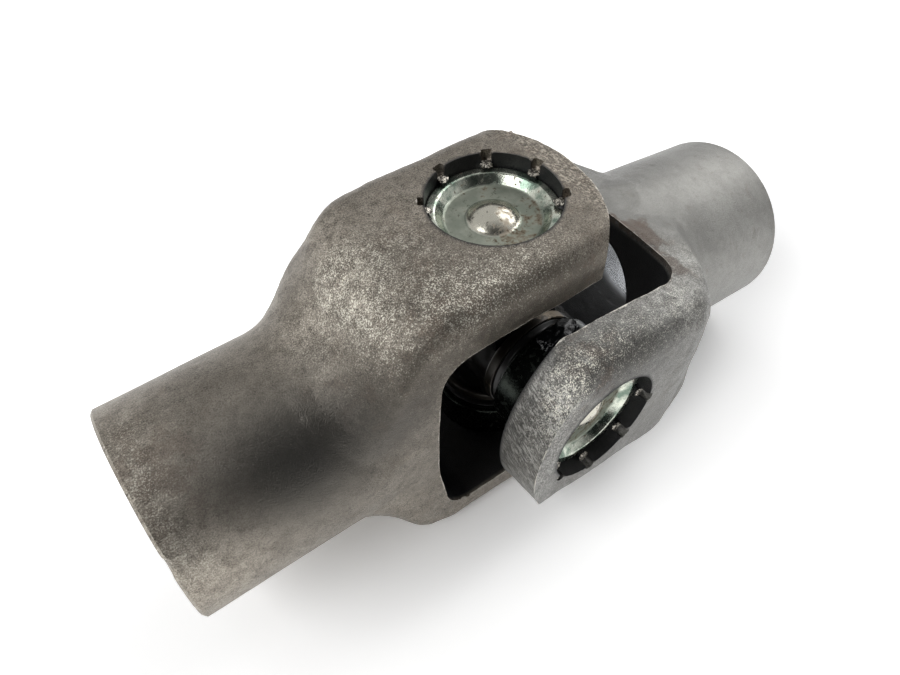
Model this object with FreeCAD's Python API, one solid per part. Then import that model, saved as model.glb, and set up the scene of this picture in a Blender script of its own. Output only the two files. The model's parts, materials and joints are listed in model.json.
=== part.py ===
# Universal joint: two forged forks on one cross, with needle bearings in cups staked into the forks.
# Millimetres, +Z up. It lies on the outside face of the left fork's lower ear, and the right fork
# hangs down on the cross until the end of its hub touches the same surface.
# The origin is under the middle of the joint's box, on that surface.
import FreeCAD, Part
import math
import os

V = FreeCAD.Vector

# Fork: one forging, used twice. Its hub runs along +X from the joint's centre, its bores along Z.
hub_radius = 20.0
hub_bore_radius = 15.0    # the shaft's seat, from the hub's end
hub_bore_depth = 29.6     # how far the shaft's seat runs in
hub_hole_radius = 14.5    # the rest of the way, through to the crotch
hub_reach = 72.6          # from the joint's centre to the end of the hub
hub_edge = 0.5            # chamfer outside and inside that end
ear_face = 32.8           # from the centre to the outside face of an ear
ear_wall = 9.4
ear_half_width = 19.5
ear_corner = 5.5          # rounding along an ear's outside
tip_reach = 17.0          # how far an ear runs past the centre
tip_radius = 27.0
shoulder_start = 20.0     # where the ear's outside face ends, towards the hub
shoulder_round = 16.0     # the bulging arc of the shoulder
shoulder_hollow = 14.5     # the hollow arc down to the hub
shoulder_run_in = 8.0     # degrees at which that arc meets the hub
run_in_length = 4.0       # how far the shoulder goes on inside the hub
run_in_corner = 17.0      # its rounding there
run_in_half_width = 18.0
side_flat_end = 34.0      # where the flat side of the fork starts to run out on the hub
side_run_out = 10.0
side_room = 1.0           # how far the cuts run past the widest part of the fork
crotch_depth = 26.0
crotch_corner = 6.5
crotch_sag = 1.2          # how much the floor of the crotch is hollowed

# Bearing: a drawn cup with a full set of needles on a trunnion of the cross.
cup_radius = 12.0         # also the radius of the bore in the ear
cup_fit = 0.01            # gap all round between cup and bore
cup_recess = 3.1          # from the ear's face down to the cup's rim
cup_mouth = 15.3          # from the joint's centre to the open end of the cup
cup_edge = 0.5
rim_width = 1.7
dish_depth = 1.7
dish_slope_width = 1.6
dome_radius = 4.6
dome_height = 1.7
cup_floor_wall = 1.6
trunnion_radius = 7.3
needle_radius = 1.25
needle_fit = 0.03         # gap of a needle to the trunnion and to the cup
needle_gap = 0.04         # smallest gap from one needle to the next
needle_start = 17.0
needle_end_gap = 0.5
trunnion_end_gap = 0.3
trunnion_edge = 0.8

# Stakes: eight punch marks round each bore push a lip of the ear over the cup's rim.
# The punch sat aslant, so only some of the marks bite through to the ear's face.
stake_count = 8
stake_width = 2.0
stake_reach = 1.1         # how far the punch bites into the ear
stake_lip = 0.9           # how far the lip stands over the rim
stake_lip_height = 0.8
stake_lip_gap = 0.02
stake_turns = {"top": 149.0, "bottom": 40.0, "near": -132.0, "far": -150.0}   # first deep mark
stake_deep = {"top": 5, "bottom": 5, "near": 4, "far": 5}                     # deep marks from there

# Cross, and what sits on each of its trunnions.
seat_radius = 9.6
seat_height = 10.9        # from the centre to the shoulder that carries the seal
web_radius = 13.5         # rounds the corners of the cross's square middle
web_step = 0.4            # from that middle's side down from the seal's shoulder
web_half = 7.5
pin_hole_radius = 2.6
pin_fit = 0.1
pin_hole_depth = 9.0
pin_head_gap = 0.1
pin_head_radius = 2.0
retainer_wall = 0.6
retainer_radius = 10.8    # less than seat_height, so that neighbours clear each other
retainer_height = 2.2
seal_gap = 0.08           # from the seal's lip to the cup's mouth
seal_lip_radius = 11.2
seal_waist_radius = 9.3
seal_fit = 0.05           # from the seal and its retainer to what they sit round or in

# Pose at rest.
fork_yaw = 2.8            # degrees that the cross and the right fork are turned about Z

bore_depth = ear_face + 1.0
rim_height = ear_face - cup_recess
race_radius = trunnion_radius + 2.0 * needle_radius + 2.0 * needle_fit
cup_floor = rim_height - dish_depth - cup_floor_wall
trunnion_end = cup_floor - trunnion_end_gap
# The right hub's end edge comes to the surface that the left fork lies on.
edge_reach = hub_reach - hub_edge
droop = math.degrees(math.asin(ear_face / math.hypot(edge_reach, hub_radius))
                     - math.atan2(hub_radius, edge_reach))


def arc(start, middle, end):
    return Part.Arc(start, middle, end).toShape()


def line(start, end):
    return Part.LineSegment(start, end).toShape()


def turned(profile):
    """Solid of revolution about Z from the corners (radius, height) of its half section."""
    points = [V(r, 0, z) for r, z in profile]
    wire = Part.makePolygon(points + [points[0]])
    return Part.Face(wire).revolve(V(0, 0, 0), V(0, 0, 1), 360)


def rod(radius, low, high):
    return Part.makeCylinder(radius, high - low, V(0, 0, low))


def ear_section(x, half_height, half_width, corner):
    """Rounded rectangle across the fork, in the plane at x."""
    y, z = half_width - corner, half_height - corner
    arcs = []
    for turn, (a, b) in enumerate([(y, z), (-y, z), (-y, -z), (y, -z)]):
        places = [V(x, a + corner * math.cos(t), b + corner * math.sin(t))
                  for t in (math.radians(90.0 * turn + step) for step in (0, 45, 90))]
        arcs.append(places)
    edges = []
    for places, following in zip(arcs, arcs[1:] + arcs[:1]):
        edges.append(arc(*places))
        edges.append(line(places[-1], following[0]))
    return Part.Wire(edges)


def shoulder_profile():
    """Places (x, half height) down the shoulder: a bulging arc, a hollow arc and the run into the hub."""
    last = math.radians(shoulder_run_in)
    drop = ear_face - hub_radius
    steep = math.acos((shoulder_round + shoulder_hollow * math.cos(last) - drop)
                      / (shoulder_round + shoulder_hollow))
    places = []
    for share in (0.0, 0.15, 0.3, 0.55, 0.8, 1.0):
        t = share * steep
        places.append((shoulder_start + shoulder_round * math.sin(t),
                       ear_face - shoulder_round * (1.0 - math.cos(t))))
    x, z = places[-1]
    for share in (0.3, 0.6, 0.85, 1.0):
        t = steep + share * (last - steep)
        places.append((x + shoulder_hollow * (math.sin(steep) - math.sin(t)),
                       z - shoulder_hollow * (math.cos(t) - math.cos(steep))))
    x, z = places[-1]
    places.append((x + run_in_length, z - run_in_length * math.tan(last)))
    return places


def fork_outside():
    """Ears, shoulder and hub as one lump, before anything is cut out of it."""
    start = ear_section(-tip_reach - 1.0, ear_face, ear_half_width, ear_corner)
    ears = Part.Face(start).extrude(V(shoulder_start + tip_reach + 1.0, 0, 0))
    places = shoulder_profile()
    lowest = places[-1][1]
    sections = []
    for x, half_height in places:
        share = ((ear_face - half_height) / (ear_face - lowest)) ** 2
        sections.append(ear_section(x, half_height,
                                    ear_half_width + share * (run_in_half_width - ear_half_width),
                                    ear_corner + share * (run_in_corner - ear_corner)))
    shoulder = Part.makeLoft(sections, True, False)
    hub = Part.makeCylinder(hub_radius, hub_reach - crotch_depth + crotch_corner,
                            V(crotch_depth - crotch_corner, 0, 0), V(1, 0, 0))
    end_edge = [e for e in hub.Edges if abs(e.BoundBox.XMin - hub_reach) < 1e-6]
    hub = hub.makeChamfer(hub_edge, end_edge)
    return ears.fuse(shoulder).fuse(hub)


def fork_plan():
    """Outline seen along the bores: a round tip, flat sides, and their run-out on the hub."""
    half = ear_half_width
    back = tip_radius - tip_reach
    tip_side = back - math.sqrt(tip_radius ** 2 - half ** 2)
    wide = max(hub_radius, ear_half_width) + side_room
    points = [V(tip_side, half, 0), V(side_flat_end, half, 0), V(side_flat_end + side_run_out, wide, 0),
              V(hub_reach + 1.0, wide, 0), V(hub_reach + 1.0, -wide, 0),
              V(side_flat_end + side_run_out, -wide, 0), V(side_flat_end, -half, 0), V(tip_side, -half, 0)]
    edges = [line(a, b) for a, b in zip(points, points[1:])]
    edges.append(arc(points[-1], V(-tip_reach, 0, 0), points[0]))
    height = ear_face + 1.0
    plan = Part.Face(Part.Wire(edges)).extrude(V(0, 0, 2 * height))
    plan.translate(V(0, 0, -height))
    return plan


def crotch():
    """The gap between the ears, with its hollow floor and rounded corners."""
    gap = ear_face - ear_wall
    floor_end = gap - crotch_corner
    floor_radius = (floor_end ** 2 + crotch_sag ** 2) / (2 * crotch_sag)
    open_end = -tip_reach - 2.0
    x = crotch_depth - crotch_sag
    c = crotch_corner * math.sqrt(0.5)
    middle = V(x - crotch_corner + c, 0, floor_end + c)
    low_middle = V(middle.x, 0, -middle.z)
    edges = [line(V(open_end, 0, -gap), V(x - crotch_corner, 0, -gap)),
             arc(V(x - crotch_corner, 0, -gap), low_middle, V(x, 0, -floor_end)),
             arc(V(x, 0, -floor_end), V(crotch_depth, 0, 0), V(x, 0, floor_end)),
             arc(V(x, 0, floor_end), middle, V(x - crotch_corner, 0, gap)),
             line(V(x - crotch_corner, 0, gap), V(open_end, 0, gap)),
             line(V(open_end, 0, gap), V(open_end, 0, -gap))]
    wide = max(hub_radius, ear_half_width) + side_room
    cut = Part.Face(Part.Wire(edges)).extrude(V(0, 2 * wide, 0))
    cut.translate(V(0, -wide, 0))
    return cut


def stakes(place, side):
    """Deep marks to cut and lips to add round one bore, on the ear at side 1 or -1."""
    marks, lips = [], []
    lip_low = rim_height + stake_lip_gap
    lip_high = lip_low + stake_lip_height
    for n in range(stake_count):
        mark = Part.makeBox(stake_reach + 1.0, stake_width, ear_face - lip_high + 1.0,
                            V(cup_radius - 1.0, -stake_width / 2, lip_high))
        lip = Part.makeBox(stake_lip + 1.0, stake_width, stake_lip_height,
                           V(cup_radius - stake_lip, -stake_width / 2, lip_low))
        for piece in (mark, lip):
            piece.rotate(V(0, 0, 0), V(0, 0, 1), stake_turns[place] + n * 360.0 / stake_count)
            if side < 0:
                piece.rotate(V(0, 0, 0), V(1, 0, 0), 180)
        if n < stake_deep[place]:
            marks.append(mark)
        lips.append(lip)
    return marks, lips


def fork(places):
    """One fork, with the names of its two bores: the one towards +Z first."""
    body = fork_outside().common(fork_plan()).cut(crotch())
    body = body.cut(rod(cup_radius, -bore_depth, bore_depth))
    hole = Part.makeCylinder(hub_hole_radius, hub_reach, V(0, 0, 0), V(1, 0, 0))
    seat = Part.makeCylinder(hub_bore_radius, hub_bore_depth + 1.0,
                             V(hub_reach - hub_bore_depth, 0, 0), V(1, 0, 0))
    mouth = Part.makeCone(hub_bore_radius, hub_bore_radius + hub_edge, hub_edge,
                          V(hub_reach - hub_edge, 0, 0), V(1, 0, 0))
    body = body.cut(hole).cut(seat).cut(mouth)
    for place, side in zip(places, (1, -1)):
        marks, lips = stakes(place, side)
        body = body.cut(Part.makeCompound(marks))
        for lip in lips:
            body = body.fuse(lip)
    return body.removeSplitter()


def cup():
    """Drawn cup: a closed end with a dished floor and a dome, and the race for the needles."""
    outside = cup_radius - cup_fit
    floor = rim_height - dish_depth
    slope_top = outside - rim_width
    slope_low = slope_top - dish_slope_width
    wall = turned([(race_radius, cup_mouth), (outside - cup_edge, cup_mouth),
                   (outside, cup_mouth + cup_edge), (outside, rim_height - cup_edge),
                   (outside - cup_edge, rim_height), (slope_top, rim_height), (slope_low, floor),
                   (0, floor), (0, cup_floor), (race_radius, cup_floor)])
    shell = wall.fuse(cap(dome_radius, dome_height, floor))
    hollow = cap(dome_radius - cup_floor_wall / 2, dome_height, cup_floor)
    return shell.cut(hollow).removeSplitter()


def cap(radius, height, base):
    """Cap of a ball with this radius at its base and this height."""
    ball = (radius ** 2 + height ** 2) / (2 * height)
    whole = Part.makeSphere(ball, V(0, 0, base + height - ball))
    return whole.common(rod(radius + 1.0, base, base + height + 1.0))


def needles():
    """The full set of needles in one cup, each a separate roller with rounded ends."""
    pitch = trunnion_radius + needle_radius + needle_fit
    count = int(math.pi / math.asin((needle_radius + needle_gap / 2) / pitch))
    low, high = needle_start, trunnion_end - needle_end_gap
    end = needle_radius / 4
    rollers = []
    for n in range(count):
        roller = turned([(0, low), (needle_radius - end, low), (needle_radius, low + end),
                         (needle_radius, high - end), (needle_radius - end, high), (0, high)])
        angle = 2 * math.pi * n / count
        roller.translate(V(pitch * math.cos(angle), pitch * math.sin(angle), 0))
        rollers.append(roller)
    return Part.makeCompound(rollers)


def seal_retainer():
    """Pressed ring on the shoulder of the cross, with a turned-up wall round the foot of the seal."""
    low = seat_height
    inner = retainer_radius - retainer_wall
    hole = trunnion_radius + seal_fit
    return turned([(hole, low), (retainer_radius, low), (retainer_radius, low + retainer_height),
                   (inner, low + retainer_height), (inner, low + retainer_wall),
                   (hole, low + retainer_wall)])


def seal():
    """Rubber ring from the retainer to the cup's mouth, waisted, with a flared lip."""
    low = seat_height + retainer_wall
    high = cup_mouth - seal_gap
    inner = trunnion_radius + seal_fit
    foot = retainer_radius - retainer_wall - seal_fit
    waist_low = seat_height + retainer_height + seal_fit
    waist = 0.5 * (waist_low + high)
    return turned([(inner, low), (foot, low), (foot, waist_low), (seal_waist_radius, waist),
                   (seal_lip_radius, high), (inner, high)])


def thrust_pin():
    """Plastic pin in the hole of a trunnion, with its round head under the cup's dome."""
    radius = pin_hole_radius - pin_fit
    low = trunnion_end - pin_hole_depth
    top = cup_floor + dome_height - pin_head_gap
    stem_top = trunnion_end
    stem = rod(radius, low, stem_top)
    head = Part.makeCone(radius, pin_head_radius, 1.0, V(0, 0, stem_top))
    nose = cap(pin_head_radius, top - stem_top - 1.0, stem_top + 1.0)
    return stem.fuse(head).fuse(nose).removeSplitter()


def trunnion():
    """One arm of the cross, standing along +Z from the centre."""
    arm = turned([(0, 0), (seat_radius, 0), (seat_radius, seat_height), (trunnion_radius, seat_height),
                  (trunnion_radius, trunnion_end - trunnion_edge),
                  (trunnion_radius - trunnion_edge, trunnion_end), (0, trunnion_end)])
    return arm.cut(rod(pin_hole_radius, trunnion_end - pin_hole_depth, trunnion_end + 1.0))


def stood(shape, place):
    """Turn a piece that stands along +Z onto one of the four trunnions."""
    turns = {"top": 0.0, "near": 90.0, "bottom": 180.0, "far": -90.0}
    piece = shape.copy()
    piece.rotate(V(0, 0, 0), V(1, 0, 0), turns[place])
    piece.rotate(V(0, 0, 0), V(0, 0, 1), fork_yaw)
    return piece


def cross():
    """Four trunnions on a thick square middle with rounded corners."""
    web = Part.makeCylinder(web_radius, 2 * web_half, V(-web_half, 0, 0), V(1, 0, 0))
    side = seat_height - web_step
    web = web.common(Part.makeBox(2 * web_half, 2 * side, 2 * side, V(-web_half, -side, -side)))
    web.rotate(V(0, 0, 0), V(0, 0, 1), fork_yaw)
    arms = [stood(trunnion(), place) for place in ("top", "near", "bottom", "far")]
    body = web
    for arm in arms:
        body = body.fuse(arm)
    return body.removeSplitter()


def left_fork():
    piece = fork(("top", "bottom"))
    piece.rotate(V(0, 0, 0), V(0, 0, 1), 180)
    return piece


def right_fork():
    piece = fork(("near", "far"))
    piece.rotate(V(0, 0, 0), V(1, 0, 0), 90)
    piece.rotate(V(0, 0, 0), V(0, 1, 0), droop)
    piece.rotate(V(0, 0, 0), V(0, 0, 1), fork_yaw)
    return piece


def build():
    """All nodes about the joint's centre, then moved onto the surface."""
    nodes = {"left_fork": left_fork(), "right_fork": right_fork(), "cross": cross()}
    makers = {"bearing_cup": cup, "needles": needles, "seal_retainer": seal_retainer,
              "seal": seal, "thrust_pin": thrust_pin}
    for name, maker in makers.items():
        shape = maker()
        for place in ("top", "bottom", "near", "far"):
            nodes[name + "_" + place] = stood(shape, place)
    box = Part.makeCompound([nodes["left_fork"], nodes["right_fork"]]).optimalBoundingBox(False, False)
    shift = V(-0.5 * (box.XMin + box.XMax), -0.5 * (box.YMin + box.YMax), ear_face)
    for shape in nodes.values():
        shape.translate(shift)
    return nodes, shift


nodes, centre = build()
os.makedirs("parts", exist_ok=True)
for name, shape in nodes.items():
    shape.exportStep("parts/" + name + ".step")
print("joint centre", [round(v, 4) for v in centre], "droop", round(droop, 4))
for name, shape in nodes.items():
    print(name, len(shape.Solids), "solids", round(shape.Volume, 1), "mm3", "valid", shape.isValid())
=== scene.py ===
# %% [markdown]
# # A forged universal joint
# Two forged forks sit on one cross, a quarter turn apart. Each end of the cross turns in a bearing cup
# that is pressed into a fork's ear and held there by punched-over metal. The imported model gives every
# piece its place, so this script loads it first and builds the looks round it.

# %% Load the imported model
import json
import math

import bmesh
import bpy
import numpy as np
from mathutils import Matrix, Vector


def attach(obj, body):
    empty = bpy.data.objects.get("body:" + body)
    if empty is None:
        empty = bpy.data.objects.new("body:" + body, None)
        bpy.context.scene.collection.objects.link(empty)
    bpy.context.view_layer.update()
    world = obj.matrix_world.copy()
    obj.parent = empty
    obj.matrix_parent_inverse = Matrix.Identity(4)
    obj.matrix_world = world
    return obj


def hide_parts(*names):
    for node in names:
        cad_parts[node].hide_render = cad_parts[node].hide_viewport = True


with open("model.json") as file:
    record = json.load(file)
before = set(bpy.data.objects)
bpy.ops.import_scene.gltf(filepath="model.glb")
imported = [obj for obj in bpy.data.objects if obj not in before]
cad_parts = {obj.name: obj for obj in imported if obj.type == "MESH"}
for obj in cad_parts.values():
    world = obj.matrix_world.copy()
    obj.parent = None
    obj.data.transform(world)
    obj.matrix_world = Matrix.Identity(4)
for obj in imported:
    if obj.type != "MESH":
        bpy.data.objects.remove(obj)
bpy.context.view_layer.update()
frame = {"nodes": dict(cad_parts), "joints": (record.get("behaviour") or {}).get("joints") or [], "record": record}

# %% [markdown]
# ## Places that everything is measured from
# The two axes cross at the joint's centre. Each fork has its own directions: x along the hub, z along
# the bearing bores, y across. Each end of the cross has directions too, with z along it. All of them
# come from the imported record, and lengths below are written in millimetres and turned into metres once.

# %% The joint's centre and directions
MM = 0.001
record = frame["record"]
joints = {joint["name"]: joint for joint in frame["joints"]}
mounts = {mount["name"]: mount for mount in record["mounts"]}
centre = np.array(joints["nod"]["pos_m"])
level_axis = np.array(joints["nod"]["axis"], float)
up_axis = np.array([0.0, 0.0, 1.0])


def directions(along, bore):
    """Rows x, y, z of a fork's own directions: x along its hub, z along its bores."""
    x = np.array(along, float) / np.linalg.norm(along)
    z = np.array(bore, float) - x * np.dot(bore, x)
    z /= np.linalg.norm(z)
    return np.array([x, np.cross(z, x), z])


fork_axes = {"left": directions(mounts["left_hub_bore"]["axis"], up_axis),
             "right": directions(mounts["right_hub_bore"]["axis"], -level_axis)}
yaw = math.atan2(-level_axis[0], level_axis[1])
trunnion_turns = {"top": 0.0, "bottom": 180.0, "near": 90.0, "far": -90.0}
trunnion_axes = {place: np.array(Matrix.Rotation(yaw, 3, "Z") @ Matrix.Rotation(math.radians(turn), 3, "X")).T
                 for place, turn in trunnion_turns.items()}
cup_bodies = {"top": "left", "bottom": "left", "near": "right", "far": "right"}


def to_world(points, axes):
    """Points in millimetres along an own set of directions, as metres in the row frame."""
    return centre + (np.asarray(points) * MM) @ axes


def to_own(points, axes):
    """The other way: metres in the row frame as millimetres along an own set of directions."""
    return (np.asarray(points) - centre) @ axes.T / MM


print("centre", centre, "yaw", round(math.degrees(yaw), 2))

# %% [markdown]
# ## The camera
# The photograph looks down on the joint from in front of it, from close by, with a wide lens. Its place
# and tilt were worked out from the round bores, the hub ends and the hubs' outlines. The camera comes
# early, because some marks below are placed by a point of the picture.

# %% Camera
camera_place = np.array([-61.566, -76.121, 115.311])
camera_forward = np.array([0.35408, 0.52085, -0.77675])
camera_right = np.array([0.81505, -0.57914, -0.0168])
photo_size = (900, 675)
lens_mm = 29.515
sensor_mm = 36.0

camera_data = bpy.data.cameras.new("camera")
camera_data.lens = lens_mm
camera_data.sensor_width = sensor_mm
camera_data.clip_start = 0.01
camera_data.clip_end = 20.0
camera = bpy.data.objects.new("camera", camera_data)
bpy.context.scene.collection.objects.link(camera)
camera_axes = np.array([camera_right, np.cross(camera_right, camera_forward), -camera_forward])
pose = Matrix(camera_axes.T.tolist()).to_4x4()
pose.translation = Vector(centre + camera_place * MM)
camera.matrix_world = pose
bpy.context.scene.camera = camera
focal_pixels = lens_mm / sensor_mm * photo_size[0]


def sight_line(pixel):
    """Direction in the row frame from the camera through a pixel of the photograph."""
    across = (pixel[0] - photo_size[0] / 2) / focal_pixels
    down = (pixel[1] - photo_size[1] / 2) / focal_pixels
    return (np.array([across, -down, -1.0]) @ camera_axes)


print("camera", [round(v, 3) for v in pose.translation])

# %% [markdown]
# ## Helpers for meshes
# Every new surface is a grid of points worked out with numpy. Turned pieces such as the cups come from a
# half section that is swept round an axis: point (i, j) of the grid is profile point i turned by the
# share j of a full turn. Where the profile touches the axis its row shrinks to one point, so doubles are
# merged and the faces are turned outwards afterwards.

# %% Mesh helpers
def mesh_from_grid(name, grid, wrap_rows=False, wrap_columns=False):
    """Closed or open grid of points (rows, columns, 3) as quads between neighbouring rows and columns."""
    rows, columns = grid.shape[:2]
    i = np.arange(rows if wrap_rows else rows - 1)[:, None]
    j = np.arange(columns if wrap_columns else columns - 1)[None, :]
    i2, j2 = (i + 1) % rows, (j + 1) % columns
    quads = np.stack([i * columns + j, i * columns + j2, i2 * columns + j2, i2 * columns + j], axis=-1)
    mesh = bpy.data.meshes.new(name)
    mesh.from_pydata(grid.reshape(-1, 3).tolist(), [], quads.reshape(-1, 4).tolist())
    return mesh


def merged(mesh, reach=1e-6):
    """Merge doubled points and point the faces of a closed shell outwards."""
    work = bmesh.new()
    work.from_mesh(mesh)
    bmesh.ops.remove_doubles(work, verts=work.verts, dist=reach)
    bmesh.ops.dissolve_degenerate(work, edges=work.edges, dist=reach / 10)
    bmesh.ops.recalc_face_normals(work, faces=work.faces)
    work.to_mesh(mesh)
    work.free()
    mesh.update()
    return mesh


def points_of(mesh):
    flat = np.empty(len(mesh.vertices) * 3)
    mesh.vertices.foreach_get("co", flat)
    return flat.reshape(-1, 3)


def normals_of(mesh):
    flat = np.empty(len(mesh.vertices) * 3)
    mesh.vertex_normals.foreach_get("vector", flat)
    return flat.reshape(-1, 3)


def move_points(mesh, points):
    mesh.vertices.foreach_set("co", np.asarray(points, float).ravel())
    mesh.update()


def keep_values(mesh, name, values):
    """Store one number for each point, for a material to read."""
    layer = mesh.attributes.get(name) or mesh.attributes.new(name, "FLOAT", "POINT")
    layer.data.foreach_set("value", np.asarray(values, np.float32))


def place_piece(name, mesh, body, material, nodes=()):
    """An object for a finished mesh: smooth, on its body, and standing for its nodes."""
    mesh.materials.clear()
    mesh.materials.append(material)
    mesh.polygons.foreach_set("use_smooth", np.ones(len(mesh.polygons), bool))
    mesh.set_sharp_from_angle(angle=math.radians(40))
    piece = bpy.data.objects.new(name, mesh)
    bpy.context.scene.collection.objects.link(piece)
    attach(piece, body)
    if nodes:
        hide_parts(*nodes)
    return piece


def rounded(corners, steps=5):
    """A half section from corners (radius, height, rounding): each corner becomes an arc that touches
    both of its sides. The arc is a circle of that rounding, run in equal steps of angle."""
    points = []
    for n, (r, z, rounding) in enumerate(corners):
        here = np.array([r, z])
        if rounding == 0 or n in (0, len(corners) - 1):
            points.append(here)
            continue
        back = np.array(corners[n - 1][:2]) - here
        on = np.array(corners[n + 1][:2]) - here
        back, on = back / np.linalg.norm(back), on / np.linalg.norm(on)
        half = 0.5 * math.acos(float(np.clip(back @ on, -1, 1)))
        middle = here + (back + on) / np.linalg.norm(back + on) * rounding / math.sin(half)
        start = here + back * rounding / math.tan(half) - middle
        end = here + on * rounding / math.tan(half) - middle
        turn = math.acos(float(np.clip(start @ end / rounding ** 2, -1, 1)))
        for share in np.linspace(0, 1, steps + 1):
            weights = np.sin([(1 - share) * turn, share * turn]) / math.sin(turn)
            points.append(middle + weights[0] * start + weights[1] * end)
    return np.array(points)


def closer(profile, step):
    """The same half section with added points, so that none of its sides is longer than step."""
    out = [profile[:1]]
    for a, b in zip(profile[:-1], profile[1:]):
        pieces = max(1, int(math.ceil(np.linalg.norm(b - a) / step)))
        shares = np.arange(1, pieces + 1)[:, None] / pieces
        out.append(a + (b - a) * shares)
    return np.concatenate(out)


def turned(name, profile, axes, around=160, closed=False, shape=None):
    """Sweep a half section (radius, height) round z: x = r cos t, y = r sin t, z = height."""
    t = np.arange(around) / around * 2 * math.pi
    r, z = profile[:, 0][:, None], profile[:, 1][:, None]
    grid = np.stack([r * np.cos(t), r * np.sin(t), z + 0 * t], axis=-1)
    if shape is not None:
        grid = shape(grid)
    mesh = mesh_from_grid(name, to_world(grid, axes), wrap_rows=closed, wrap_columns=True)
    return merged(mesh)


def waves(points, wavelength, seed, count=40):
    """Uneven field over points: a sum of plane waves cos(k.p + phase) in chance directions, with lengths
    near the wavelength, divided so that its spread is about 1."""
    chance = np.random.default_rng(seed)
    heading = chance.normal(size=(count, 3))
    heading /= np.linalg.norm(heading, axis=1)[:, None]
    k = heading * (2 * math.pi / (wavelength * chance.uniform(0.7, 1.5, count)))[:, None]
    phase = chance.uniform(0, 2 * math.pi, count)
    return np.cos(points @ k.T + phase).sum(axis=1) * math.sqrt(2 / count)


def ramp(values, low, high):
    """Smooth step: 0 below low, 1 above high, 3t^2 - 2t^3 between."""
    t = np.clip((values - low) / (high - low), 0, 1)
    return t * t * (3 - 2 * t)


# %% [markdown]
# ## Helpers for materials
# A finish is a chain of shader nodes. Written out one by one they are hard to read, so a wire wraps one
# socket and lets Python's own signs add Math nodes. Noise sizes are given in millimetres.

# %% Shader maths
class Wire:
    """One socket of a finish; its + - * / signs add Math nodes."""

    def __init__(self, finish, socket):
        self.finish = finish
        self.socket = socket

    def math(self, operation, a, b):
        return self.finish.node("ShaderNodeMath", {"operation": operation}, {0: a, 1: b})

    def __add__(self, other):
        return self.math("ADD", self, other)

    __radd__ = __add__

    def __mul__(self, other):
        return self.math("MULTIPLY", self, other)

    __rmul__ = __mul__

    def __sub__(self, other):
        return self.math("SUBTRACT", self, other)

    def __rsub__(self, other):
        return self.math("SUBTRACT", other, self)

    def __truediv__(self, other):
        return self.math("DIVIDE", self, other)


class Finish:
    """A material and the calls that add its nodes."""

    def __init__(self, name):
        self.material = bpy.data.materials.new(name)
        self.material.use_nodes = True
        self.tree = self.material.node_tree
        self.tree.nodes.clear()
        self.place = self.node("ShaderNodeTexCoord", out="Object")

    def node(self, kind, settings=None, inputs=None, out=0):
        """Add a node: first its settings, then the values or wires of its sockets."""
        made = self.tree.nodes.new(kind)
        for key, value in (settings or {}).items():
            if key == "stops":
                while len(made.color_ramp.elements) < len(value):
                    made.color_ramp.elements.new(0.5)
                for element, (where, colour) in zip(made.color_ramp.elements, value):
                    element.position = where
                    element.color = (*colour, 1.0)
            else:
                setattr(made, key, value)
        for key, value in (inputs or {}).items():
            if isinstance(value, Wire):
                self.tree.links.new(value.socket, made.inputs[key])
            elif isinstance(value, tuple) and len(value) == 3 and made.inputs[key].type == "RGBA":
                made.inputs[key].default_value = (*value, 1.0)
            else:
                made.inputs[key].default_value = value
        return Wire(self, made.outputs[out])

    def noise(self, size_mm, detail=2.0, rough=0.5, shift=0.0, stretch=(1.0, 1.0, 1.0), turn=(0.0, 0.0, 0.0)):
        """Noise whose lumps are about size_mm across; shift picks another pattern."""
        where = self.node("ShaderNodeMapping", {}, {"Vector": self.place, "Rotation": turn, "Scale": stretch,
                                                    "Location": (shift, shift, shift)})
        return self.node("ShaderNodeTexNoise", {}, {"Vector": where, "Scale": 1.0 / (size_mm * MM),
                                                    "Detail": detail, "Roughness": rough})

    def streaks(self, size_mm, long, turn):
        """Noise drawn out along one direction, as a grinding wheel leaves it."""
        where = self.node("ShaderNodeMapping", {"vector_type": "TEXTURE"},
                          {"Vector": self.place, "Rotation": turn, "Scale": (1.0, long, 1.0)})
        return self.node("ShaderNodeTexNoise", {}, {"Vector": where, "Scale": 1.0 / (size_mm * MM),
                                                    "Detail": 3.0, "Roughness": 0.6})

    def step(self, wire, low, high, to_low=0.0, to_high=1.0):
        """Smooth step of a wire between two values."""
        return self.node("ShaderNodeMapRange", {"interpolation_type": "SMOOTHSTEP"},
                         {0: wire, 1: low, 2: high, 3: to_low, 4: to_high})

    def mix(self, share, a, b):
        """Colour a where share is 0, colour b where it is 1."""
        return self.node("ShaderNodeMix", {"data_type": "RGBA"}, {0: share, 6: a, 7: b}, out=2)

    def blend(self, share, a, b):
        """The same for plain values."""
        return self.node("ShaderNodeMix", {"data_type": "FLOAT"}, {0: share, 2: a, 3: b})

    def read(self, name):
        """A number kept on the mesh."""
        return self.node("ShaderNodeAttribute", {"attribute_name": name}, out="Fac")

    def bump(self, height, depth_mm, strength=1.0, under=None):
        inputs = {"Height": height, "Distance": depth_mm * MM, "Strength": strength}
        if under is not None:
            inputs["Normal"] = under
        return self.node("ShaderNodeBump", {}, inputs)

    def surface(self, **sockets):
        """The Principled shader and the output; underscores stand for blanks."""
        inputs = {key.replace("_", " "): value for key, value in sockets.items()}
        shader = self.node("ShaderNodeBsdfPrincipled", {}, inputs)
        self.end(shader)
        return self.material

    def end(self, shader):
        output = self.tree.nodes.new("ShaderNodeOutputMaterial")
        self.tree.links.new(shader.socket, output.inputs["Surface"])
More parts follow.
